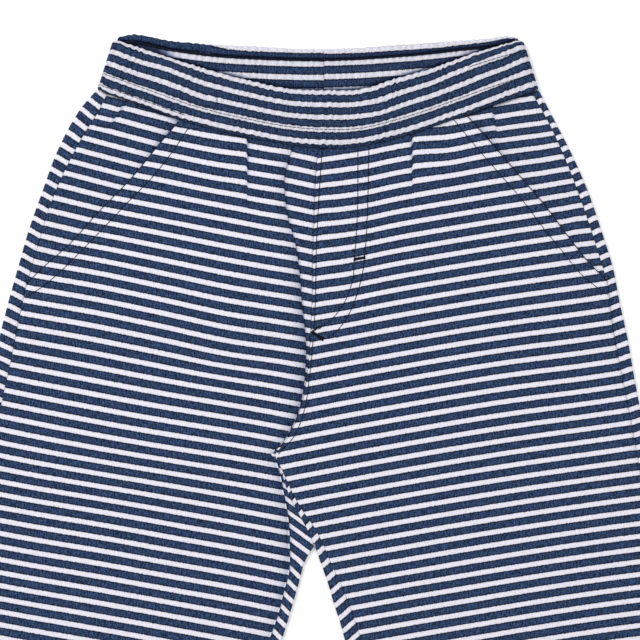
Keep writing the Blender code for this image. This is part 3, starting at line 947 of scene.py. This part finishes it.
def makeBack(half, name):
    b = backs
    side = half["side"]
    outward = side * lay["seamGap"] / 2
    seam, inseam, fold, legFold = (half[edge] for edge in ("seam", "inseam", "fold", "legFold"))
    mouthEnd = half["mouth"]["drop"][-1]
    seamLine = np.concatenate([
        stretchOf(seam, seam["drop"][0], mouthEnd, b["rowsMouth"], outward),
        stretchOf(seam, mouthEnd, seam["drop"][-1], b["rowsSide"], outward)[1:],
    ])
    # the fold has the seam's rows, shared out over its own length
    foldDrops = np.interp(seamLine[:, 1], seamLine[[0, -1], 1], (fold["drop"][0], fold["drop"][-1]))
    foldDrops[0] += b["topInset"]
    seamLine[0, 1] = dropAt(frontSeam, seamLine[0, 0]) + lay["seamGap"] / 2
    sideFold = foldRound(half, fold, foldDrops, side)
    legDrops = np.linspace(lay["apexDrop"], legFold["drop"][-1], b["rowsLeg"] + 1)
    innerFold = foldRound(half, legFold, legDrops, -side)

    rowsAbove = b["rowsMouth"] + b["rowsSide"] - b["rowsLeg"]
    centre = stretchOf(centreBackUnder, centreBackUnder["drop"][0], lay["apexDrop"], rowsAbove, outward)[:-1]
    outer = sideFold[:, 0, :2].copy()
    shares = np.linspace(0, 1, b["under"] + 1)
    underX, underD = panelPlan(backSeam, outer, np.concatenate([centre, innerFold[:, 0, :2]]), shares)
    sideFold[0, :, 1] = outer[0, 1]
    hidden = creaseRise(backCreases[half["name"]], underX, underD)
    hidden = hidden * ease(shares, 0, 0.06) * fade(shares, 0.94, 1)
    underZ = lay["under"] + np.clip(hidden, 0, b["creaseMost"])

    sideWrap = wrapRound(half, "seam", seamLine, sideFold, side)
    legSeam = stretchOf(inseam, lay["apexDrop"], inseam["drop"][-1], b["rowsLeg"], -outward)
    legWrap = [values[:, ::-1] for values in wrapRound(half, "inseam", legSeam, innerFold, -side)]

    # the part of the back that shows between the two inseams, down to where the leg's strip starts
    forkSeam = stretchOf(inseam, lay["stripDrop"], lay["apexDrop"], b["rowsFork"], -outward)[:-1]
    forkCentre = stretchOf(centreBackTop, lay["stripDrop"], lay["apexDrop"], b["rowsFork"], outward)[:-1]
    x, d = np.moveaxis(between(forkCentre, forkSeam, np.linspace(0, 1, b["strip"] + 1)), -1, 0)
    z = upperLevel(half, x, d)
    for line in (forkSeam, forkCentre):
        z = z - b["forkDip"] * bell(x - line[:, :1], b["seamRound"])
    fork = [
        np.concatenate([above, below[:1, b["turn"]:]])
        for above, below in zip((x, d, z, acrossKnit(x), stripCount(half, "inseam", x, d)), legWrap)
    ]

    # the lower layer takes its stripes from both folds
    legCount = legWrap[4][:, 0]
    innerCount = np.concatenate([legCount[0] + (centre[:, 1] - lay["apexDrop"]) / lay["stripe"], legCount])
    underCount = sideWrap[4][:, -1:] * (1 - shares) + innerCount[:, None] * shares
    dark = b["legDark"][half["name"]]
    legShade = dark * near(offEdge(inseam, legWrap[0], legWrap[1]), 1.0)
    forkShade = (dark + b["forkDarker"]) * near(offEdge(inseam, fork[0], fork[1]), 1.0)
    grids = [
        (*sideWrap, 0.0),
        (underX, underD, underZ, acrossKnit(underX), underCount, 0.0),
        (*legWrap, legShade),
        (*fork, forkShade),
    ]
    return clothFrom(name, grids, stripedJersey, lay["wall"])


backLeft = makeBack(left, "backLeft")
backRight = makeBack(right, "backRight")


print("waistband")

band = dict(
    wall=2.5, gap=0.3, loft=1.0, reach=15.0,
    gathers=56, raised=1.15, scallop=0.5, inner=0.25, ends=0.3,
    frontSteps=620, backSteps=200, turnSteps=14, down=28,
    topRound=dict(by=0.9, reach=1.4), bottomRound=dict(by=0.9, reach=1.8),
    seamTuck=0.2,
    # the front's stitched row, as a share of the height
    row=0.686, rowWide=0.016, rowDip=0.2,
    # inside: how far down the turned edge reaches, and how much cloth it stands up
    turned=dict(across=[-134, -98, -64, 8, 60, 110, 142], drop=[4.9, 5.0, 6.8, 6.6, 6.6, 5.2, 5.2]),
    lip=1.1, hollow=1.6, hollowFrom=(-3.0, -0.8),
    # outside, a stripe's place and pitch as shares of the height
    first=0.035, pitch=0.2172,
    # inside, in millimetres: on the turned edge, then below it, left and right of the join
    turnedFirst=0.7, innerFirst=(3.2, 2.6), innerPitch=9.0,
    # the count where the stripes below the turned edge stop, so that past it the inside is navy as painted
    # shade in the hollow behind the front's top edge, and the plain navy from a share of the height down
    innerMost=2.62, plainFrom=0.8, plain=4.55,
    # the turned edge's stripes each side of the centre back, by the share of the way round
    backShift=dict(
        left=dict(at=[0, 0.36, 0.46, 0.55, 1], by=[-0.02, -0.1, -0.04, 0.2, 0.42]),
        right=dict(at=[0, 0.2, 0.4, 0.65, 1], by=[0.14, 0.0, -0.12, -0.12, -0.08]),
    ),
    # small slips of the stripes, where the elastic pulls them together unevenly
    slips=[
        dict(across=-143, wide=3.5, run=0.90, deep=0.50, by=0.18),
        dict(across=-122, wide=11, run=0.92, deep=0.35, by=-0.11),
        dict(across=-97, wide=15, run=0.20, deep=0.26, by=0.17),
        dict(across=-96, wide=15, run=0.92, deep=0.26, by=-0.13),
        dict(across=-74, wide=10, run=0.58, deep=0.20, by=-0.11),
        dict(across=48, wide=11, run=0.42, deep=0.22, by=-0.16),
        dict(across=97, wide=13, run=0.22, deep=0.20, by=0.14),
        dict(across=129, wide=8, run=0.30, deep=0.25, by=-0.12),
    ],
    join=8.0, joinOpen=0.15,
    crease=dict(across=-63.6, lean=1.5, run=(0.38, 0.86), wide=0.5, dark=0.9),
)
band["backLevel"] = band["wall"] / 2
band["frontLevel"] = band["wall"] + band["gap"] + band["wall"] / 2
band["turnRadius"] = (band["frontLevel"] + band["loft"] - band["backLevel"]) / 2


def gatherWave(turns, share, seed):
    # fine upright wrinkles, uneven in width and depth, which wander a little on their way down
    turns = turns + 0.28 * wander(turns * 0.9, seed) + 0.22 * wander(turns * 0.35 + 3.0 * share, seed + 4)
    uneven = 0.62 + 0.38 * wander(turns * 0.7 + 1.2 * share, seed + 9)
    ripple = 0.5 - 0.5 * np.cos(2 * math.pi * turns)
    return np.clip(uneven, 0.12, 1.1) * ripple ** 1.2


def outsideCount(run, x, topX, rise):
    # the stripes waver with the gathers, most at the band's two edges
    b = band
    waver = 0.04 + 0.06 * near(run, 0.1) + 0.06 * bell(run - 0.95, 0.06)
    count = (run - b["first"]) / b["pitch"] + waver * (rise - 0.4)
    # at the ends of the front they run a little across the band
    count = count + (0.62 - 0.52 * run - 0.55 * bell(run, 0.045)) * ease(topX, 92, 142)
    count = count + (0.2 - 0.35 * run) * fade(topX, -133, -110)
    for slip in b["slips"]:
        close = bell(x - slip["across"], slip["wide"]) * bell(run - slip["run"], slip["deep"])
        count = count + slip["by"] * close
    return count


def insideCount(run, down, topX, turned, tilt):
    # one set of stripes on the turned edge and one below it, which ends in navy as painted shade behind the
    # front's top edge, then plain navy to the seam
    b = band
    onTurned = (down - b["turnedFirst"]) / lay["stripe"] + tilt
    first = b["innerFirst"][0 if topX < b["join"] else 1]
    below = np.minimum((down - turned - first) / b["innerPitch"], b["innerMost"])
    below = np.where(run > b["plainFrom"], b["plain"], below)
    return np.where(down < turned, onTurned, below)


def outsideShade(run, x):
    # one dark crease across the front
    c = band["crease"]
    start, end = c["run"]
    window = ease(run, start, start + 0.1) * fade(run, start, end)
    return c["dark"] * window * bell(x - c["across"] - c["lean"] * (0.5 - run), c["wide"])


def insideShade(x, d, past):
    # the back's inside is dark behind the front's edge, along the turned edge and at both ends
    shade = 2.0 * near(dropAt(frontTop, x) - d - 0.9, 0.9)
    shade = shade + 1.9 * np.where(past > 0, near(past - 0.5, 0.35), near(-past - 0.3, 0.5))
    return shade + (past > 0) * (1.7 * fade(x, -106, -90) + 1.2 * ease(x, 106, 124))


def bandFace(s, face):
    # one face of a section of the band: the outer one downwards, the inner one upwards
    b = band
    onBack = s["normal"][1] < -0.9
    run = s["run"][::face]
    down = run * s["long"]
    turned = s["turned"]
    strength = s["wave"] * (1.0 if (face > 0) == s["front"] else b["inner"])
    if face > 0 and onBack:
        strength = 0.0
    rise = gatherWave(s["turns"], run, s["seed"]) * strength
    d = (1 - run) * s["top"][1] + run * s["bottom"][1]
    off = b["wall"] / 2 + rise - b["topRound"]["by"] * rounded(down, b["topRound"]["reach"])
    if face > 0:
        off = off - b["rowDip"] * bell(run - b["row"], b["rowWide"])
        off = off - b["bottomRound"]["by"] * rounded(s["long"] - down, b["bottomRound"]["reach"])
    else:
        off = off + b["lip"] * fade(down, turned - 0.12, turned + 0.12)
        if onBack:
            # and falls back behind the front's top edge
            off = off - b["hollow"] * ease(d - dropAt(frontTop, s["top"][0]), *b["hollowFrom"])
    x = (1 - run) * s["top"][0] + run * s["bottom"][0] + s["normal"][0] * face * off
    z = s["level"] + s["normal"][1] * face * off
    rise = rise / b["raised"]
    d = d - b["scallop"] * rise * near(down, 3.0)
    shade = 0.2 * (1 - np.clip(rise, 0, 1)) ** 7
    if face > 0:
        count = outsideCount(run, x, s["top"][0], rise)
    else:
        count = insideCount(run, down, s["top"][0], turned, s["tilt"])
    if face > 0 and s["normal"][1] > 0.9:
        shade = shade + outsideShade(run, x)
    if face < 0 and onBack:
        shade = shade + insideShade(x, d, down - turned)
    s["faces"][face] = (run, x, d, z)
    return x, d, z, np.full(len(run), s["turns"] * 0.62), count, shade


def bandSection(place, top, bottom, level, normal, wave, turns, tilt=0.0):
    # the band's cut through both faces at one place of the way round
    turned = float(dropAt(band["turned"], top[0]))
    long = bottom[1] - top[1]
    lip = (turned + np.array([-0.35, -0.1, 0.1, 0.35])) / long
    run = np.sort(np.concatenate([np.linspace(0, 1, band["down"] + 1), lip]))
    return dict(
        place, top=top, bottom=bottom, level=level, normal=normal, wave=wave, turns=turns, tilt=tilt,
        turned=turned, long=long, run=run, faces={},
    )


def flatBand(place, start, end, turns):
    # from one (top, bottom) pair of across values to another, on the back or the front
    b = band
    topEdge, bottomEdge = (frontTop, frontSeam) if place["front"] else (backTop, backSeam)
    steps = b["frontSteps"] if place["front"] else b["backSteps"]
    sections = []
    for k in range(steps + 1):
        u = k / steps
        xTop, xBottom = ((1 - u) * start[i] + u * end[i] for i in (0, 1))
        level, normal, tilt = b["backLevel"], (0, -1), 0.0
        if place["front"]:
            # the front stands up beside the turns at its ends
            toEnd = min(u, 1 - u) * abs(end[0] - start[0])
            level, normal = b["frontLevel"] + b["loft"] * math.exp(-toEnd / b["reach"]), (0, 1)
        else:
            tilt = float(np.interp(u, place["shift"]["at"], place["shift"]["by"]))
        top = (xTop, float(dropAt(topEdge, xTop)))
        bottom = (xBottom, float(dropAt(bottomEdge, xBottom)) - b["seamTuck"])
        wave = b["raised"] * float(ease(min(u, 1 - u), 0, 0.01))
        at = turns[0] + (turns[1] - turns[0]) * u
        sections.append(bandSection(place, top, bottom, level, normal, wave, at, tilt))
    return sections


def turnedBand(side, end, upwards, turns):
    # round the side, between the back and the front
    b = band
    sections = []
    for k in range(1, b["turnSteps"]):
        angle = math.pi * k / b["turnSteps"]
        if not upwards:
            angle = math.pi - angle
        out = side * math.sin(angle)
        top = (end[0] + out * b["turnRadius"], float(dropAt(frontTop, end[0])))
        bottom = (end[1] + out * b["turnRadius"], frontSeam["drop"][0] - b["seamTuck"])
        level = b["backLevel"] + b["turnRadius"] * (1 - math.cos(angle))
        normal = (out, -math.cos(angle))
        place = dict(front=True, seed=3)
        sections.append(bandSection(place, top, bottom, level, normal, b["ends"], turns + 0.08 * k))
    return sections


def makeWaistband():
    b = band
    inset = b["turnRadius"] + b["wall"] / 2
    leftEnd = [edge["across"][0] + inset for edge in (frontTop, frontSeam)]
    rightEnd = [edge["across"][-1] - inset for edge in (frontTop, frontSeam)]
    join = [[b["join"] + away] * 2 for away in (-b["joinOpen"], b["joinOpen"])]
    g = b["gathers"]
    backLeftPlace = dict(front=False, seed=5, shift=b["backShift"]["left"])
    backRightPlace = dict(front=False, seed=8, shift=b["backShift"]["right"])
    sections = (
        flatBand(backLeftPlace, join[0], leftEnd, (0, g / 2))
        + turnedBand(-1, leftEnd, True, g / 2)
        + flatBand(dict(front=True, seed=2), leftEnd, rightEnd, (g / 2 + 1, 1.5 * g + 1))
        + turnedBand(1, rightEnd, False, 1.5 * g + 1)
        + flatBand(backRightPlace, rightEnd, join[1], (1.5 * g + 2, 2 * g + 2))
    )
    rows = []
    for s in sections:
        outside, inside = bandFace(s, 1), bandFace(s, -1)
        # closed over the top edge
        rows.append([np.concatenate([o, i, o[:1]]) for o, i in zip(outside, inside)])
    grid = [np.array(values) for values in zip(*rows)]
    return clothFrom("waistbandCloth", [grid], bandJersey), sections


waistband, bandSections = makeWaistband()


print("stitching")

stitching = dict(
    radius=0.27, stitch=2.9, gap=0.06, sink=0.12, lift=0.6, sides=6,
    mouthRadius=0.45, mouthInset=0.3, mouthSink=0.1,
    tackRadius=0.24, tackApart=0.36, tackLift=0.65, tackBow=0.35, tackSlant=0.12,
    tackEnd=0.12, tackWider=1.35,
    hemUp=(20.0, 22.0), hemInset=0.012, hemPoints=260, mouthPoints=160,
)
# the band's rows: their height is a share of the band's, and the short ones end at an across value
bandThread = dict(
    radius=0.21, stitch=2.7, gap=0.45, spacing=0.4, lift=0.22, lowest=0.2,
    waver=0.007, waverLong=21.0,
    leftRow=0.903, leftTo=-76, rightRow=0.208, rightFrom=104,
)
# a dark tube under the back's turned edge: partly its overlock thread, partly painted shadow under that edge
lipOverlockAndShadow = dict(below=0.55, radius=0.75, lift=0.15)
# rows of stitches on the fronts, as they run down the cloth
pocketRows = dict(
    left=dict(
        across=[-83.1, -93.4, -107.5, -122.6, -136.0, -152.8, -166.8, -180.9, -193.0],
        drop=[63.0, 78.1, 95.8, 111.2, 125.3, 142.7, 156.8, 168.8, 176.9],
    ),
    right=dict(
        across=[95.1, 109.9, 125.0, 141.4, 155.1, 168.2, 180.2, 193.6, 200.5],
        drop=[57.0, 75.0, 92.2, 111.2, 129.3, 145.4, 160.1, 170.9, 175.2],
    ),
)
centreRow = dict(
    across=[6.7, 6.3, 3.2, 1.7, -1.3, -5.4, -8.2, -12.7, -19.4, -24.1],
    drop=[77.0, 83.1, 136.0, 189.6, 225.8, 252.3, 261.0, 270.0, 277.4, 282.7],
)
flyRows = [
    dict(
        across=[30.8, 30.2, 29.1, 28.1, 27.9, 26.1, 23.2, 18.8, 13.4, 6.7, 3.0],
        drop=[75.7, 124.0, 141.4, 150.8, 159.5, 168.2, 176.2, 183.6, 190.3, 195.6, 198.0],
    ),
    dict(
        across=[38.2, 36.9, 35.9, 35.1, 34.2, 32.2, 29.3, 25.5, 20.1, 15.4, 7.7],
        drop=[74.4, 124.0, 141.4, 149.1, 157.5, 166.8, 176.2, 185.6, 194.3, 199.4, 203.7],
    ),
]
barTacks = [
    dict(ends=((28.3, 150.3), (35.6, 149.0)), wide=1.7),
    dict(ends=((-0.3, 198.7), (7.7, 204.0)), wide=1.9),
    dict(ends=((1.6, 197.6), (5.2, 195.2)), wide=1.0),
]


def planLine(table, spacing=0.8):
    # a dense smooth line through the points of a table
    at = runOf(np.stack([table["across"], table["drop"]], 1))
    dense = np.linspace(0, at[-1], int(at[-1] / spacing) + 2)
    spine = dict(table, at=at)
    return readTable(spine, "at", dense, "across"), readTable(spine, "at", dense, "drop")


def makeThread(name, paths, radius, stitch=None, gap=0.0, sink=0.0, spacing=1.3):
    # thread as rings round a path: single stitches, or one run where stitch is left out
    sides = stitching["sides"]
    verts, faces = [], []
    angles = 2 * math.pi * np.arange(sides)[:, None] / sides
    turns = np.cos(angles), np.sin(angles)
    for path in paths:
        points = np.stack([path[:, 0], lay["halfLength"] - path[:, 1], path[:, 2]], 1)
        at = runOf(points)
        if stitch:
            count = max(int((at[-1] + gap) / (stitch + gap)), 1)
            rings = max(int(stitch / spacing) + 1, 5)
            starts = [k * (stitch + gap) for k in range(count)]
            long = stitch
        else:
            rings = max(int(at[-1] / spacing), 2)
            starts = [0]
            long = at[-1]
        share = np.linspace(0, 1, rings)
        toEnd = abs(2 * share - 1) if stitch else np.zeros(rings)
        thick = radius * (1 - 0.3 * toEnd ** 3)[:, None, None]
        for start in starts:
            where = start + long * share
            spot, ahead, behind = (
                np.stack([np.interp(where + off, at, points[:, i]) for i in range(3)], 1)
                for off in (0, 0.3, -0.3)
            )
            along = ahead - behind
            along /= np.linalg.norm(along, axis=1)[:, None]
            aside = np.cross(along, [0, 0, 1])
            aside /= np.linalg.norm(aside, axis=1)[:, None]
            up = np.cross(aside, along)
            # a stitch is thinner and sinks into the cloth at its ends
            spot[:, 2] -= sink * toEnd ** 4
            ring = spot[:, None] + thick * (turns[0] * aside[:, None] + turns[1] * up[:, None])
            first = len(verts)
            verts.extend((ring.reshape(-1, 3) * mm).tolist())
            for i in range(rings - 1):
                for j in range(sides):
                    a, b = first + i * sides + j, first + i * sides + (j + 1) % sides
                    faces.append((a, b, b + sides, a + sides))
            faces.append(tuple(first + j for j in range(sides))[::-1])
            faces.append(tuple(first + (rings - 1) * sides + j for j in range(sides)))
    mesh = bpy.data.meshes.new(name)
    mesh.from_pydata(verts, [], faces)
    mesh.shade_smooth()
    mesh.materials.append(thread)
    return link(name, mesh)


def stitchRow(name, half, lines):
    # rows of single stitches on a front, each given by its (across, drop) points
    s = stitching
    paths = [np.stack([x, d, frontHeight(half, x, d) + s["lift"]], 1) for x, d in lines]
    return makeThread(name, paths, s["radius"], s["stitch"], s["gap"], s["sink"])


def hemRows(half):
    # across the whole leg, a little above its lower edge
    inset = stitching["hemInset"]
    share = np.linspace(inset, 1 - inset, stitching["hemPoints"])
    lines = []
    for up in stitching["hemUp"]:
        ends = []
        for edge in (half["fold"], half["legFold"]):
            drop = edge["drop"][-1] - up
            ends.append((float(acrossAt(edge, drop)), drop))
        lines.append([(1 - share) * start + share * end for start, end in zip(*ends)])
    return lines


def mouthThreadAndShadow(name, half):
    # a dark thread under the pocket mouth's rolled edge: partly the edge's own thread, partly painted shadow
    # in the gap under the edge
    s = stitching
    mouth = half["mouth"]
    drops = np.linspace(mouth["drop"][0] + 1, mouth["drop"][-1], s["mouthPoints"])
    x = acrossAt(mouth, drops) + half["side"] * s["mouthInset"]
    z = frontHeight(half, x, drops) - s["mouthSink"]
    return makeThread(name, [np.stack([x, drops, z], 1)], s["mouthRadius"])


def barTack(spec):
    # close threads laid across a short line, slanting by turns, longer at both ends of it
    s = stitching
    start, end = np.array(spec["ends"], float)
    run = math.dist(start, end)
    across = np.array([start[1] - end[1], end[0] - start[0]]) / run
    count = int(run / s["tackApart"])
    share = np.linspace(-1, 1, 7)
    paths = []
    for k in range(count + 1):
        t = k / count
        atEnd = t < s["tackEnd"] or t > 1 - s["tackEnd"]
        reach = spec["wide"] * (s["tackWider"] if atEnd else 1.0) / 2
        slant = s["tackSlant"] if k % 2 else -s["tackSlant"]
        x, d = (start + (end - start) * t)[:, None] + (across * reach + (slant, 0))[:, None] * share
        z = frontHeight(right, x, d) + s["tackLift"] + s["tackBow"] * (1 - share ** 2)
        paths.append(np.stack([x, d, z], 1))
    return paths


def bandLine(sections, face, rowAt, lift):
    # a line round the band, at a share of its height, a little above the cloth
    path = []
    for s in sections:
        run, *spots = s["faces"][face]
        order = np.argsort(run)
        x, d, z = (float(np.interp(rowAt(s), run[order], v[order])) for v in spots)
        # on the underside the thread lies sunk in the cloth, which rests on it
        out = lift * face if face < 0 or s["normal"][1] > -0.9 else -lift
        path.append([x + s["normal"][0] * out, d, max(z + s["normal"][1] * out, bandThread["lowest"])])
    return np.array(path)


def acrossOf(section):
    return section["faces"][1][1][0]


def bandRow(section):
    # a slightly wavering row
    return band["row"] + bandThread["waver"] * math.sin(acrossOf(section) / bandThread["waverLong"] - 1.0)


def lipRow(section):
    return (section["turned"] + lipOverlockAndShadow["below"]) / section["long"]


tackPaths = [path for tack in barTacks for path in barTack(tack)]
# each piece of sewing with the slot of the cloth that it sits on
sewn = [
    (stitchRow("pocketStitchLeft", left, [planLine(pocketRows["left"])]), "pocket_jersey"),
    (stitchRow("pocketStitchRight", right, [planLine(pocketRows["right"])]), "pocket_jersey"),
    (stitchRow("flyStitching", right, [planLine(row) for row in flyRows]), "striped_jersey"),
    (stitchRow("centreStitch", right, [planLine(centreRow)]), "striped_jersey"),
    (stitchRow("hemStitchLeft", left, hemRows(left)), "striped_jersey"),
    (stitchRow("hemStitchRight", right, hemRows(right)), "striped_jersey"),
    (makeThread("flyTacks", tackPaths, stitching["tackRadius"]), "striped_jersey"),
    # dark lines in the pocket mouths: partly thread, partly painted shadow
    (mouthThreadAndShadow("mouthThreadAndShadowLeft", left), "pocket_jersey"),
    (mouthThreadAndShadow("mouthThreadAndShadowRight", right), "pocket_jersey"),
]

# one dashed row all round the band, and a short one at each end of the front
frontSections = [s for s in bandSections if s["front"]]
leftEnd = [s for s in frontSections if acrossOf(s) < bandThread["leftTo"]]
rightEnd = [s for s in frontSections if acrossOf(s) > bandThread["rightFrom"]]
bandPaths = [
    bandLine(bandSections, 1, bandRow, bandThread["lift"]),
    bandLine(leftEnd, 1, lambda s: bandThread["leftRow"], bandThread["lift"]),
    bandLine(rightEnd, 1, lambda s: bandThread["rightRow"], bandThread["lift"]),
]
stitchSizes = {key: bandThread[key] for key in ("radius", "stitch", "gap", "spacing")}
sewn.append((makeThread("bandStitching", bandPaths, **stitchSizes), "waistband_jersey"))

# along the rolled lower edge of the cloth turned in at the back, a dark tube that is partly its overlock
# thread and partly painted shadow under that edge, in two runs that meet at the join
backSections = [s for s in bandSections if not s["front"]]
middle = len([s for s in backSections if acrossOf(s) < band["join"]])
lipPaths = [
    bandLine(part, -1, lipRow, lipOverlockAndShadow["lift"]) for part in (backSections[:middle], backSections[middle:])
]
sewn.append((makeThread("overlockAndShadowUnderLip", lipPaths, lipOverlockAndShadow["radius"]), "waistband_jersey"))


clothPieces = [
    dict(piece=frontLeft, node="front_left", slot="striped_jersey", flat=(0.24, 0.44), area=0.080,
         on=["facingLeft", "backLeft"]),
    dict(piece=frontRight, node="front_right", slot="striped_jersey", flat=(0.24, 0.44), area=0.082,
         on=["facingRight", "backRight"]),
    dict(piece=backLeft, node="back_left", slot="striped_jersey", flat=(0.30, 0.45), area=0.098, on=[]),
    dict(piece=backRight, node="back_right", slot="striped_jersey", flat=(0.30, 0.45), area=0.095, on=[]),
    dict(piece=facingLeft, node="pocket_facing_left", slot="pocket_jersey", flat=(0.11, 0.14), area=0.0066,
         on=["backLeft"]),
    dict(piece=facingRight, node="pocket_facing_right", slot="pocket_jersey", flat=(0.11, 0.14), area=0.0066,
         on=["backRight"]),
    dict(piece=waistband, node="waistband", slot="waistband_jersey", flat=(0.70, 0.040), area=0.028, on=[]),
]
for c in clothPieces:
    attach(c["piece"], "root")
    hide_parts(c["node"])

for piece, name in sewn:
    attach(piece, "root")

print("pieces done")
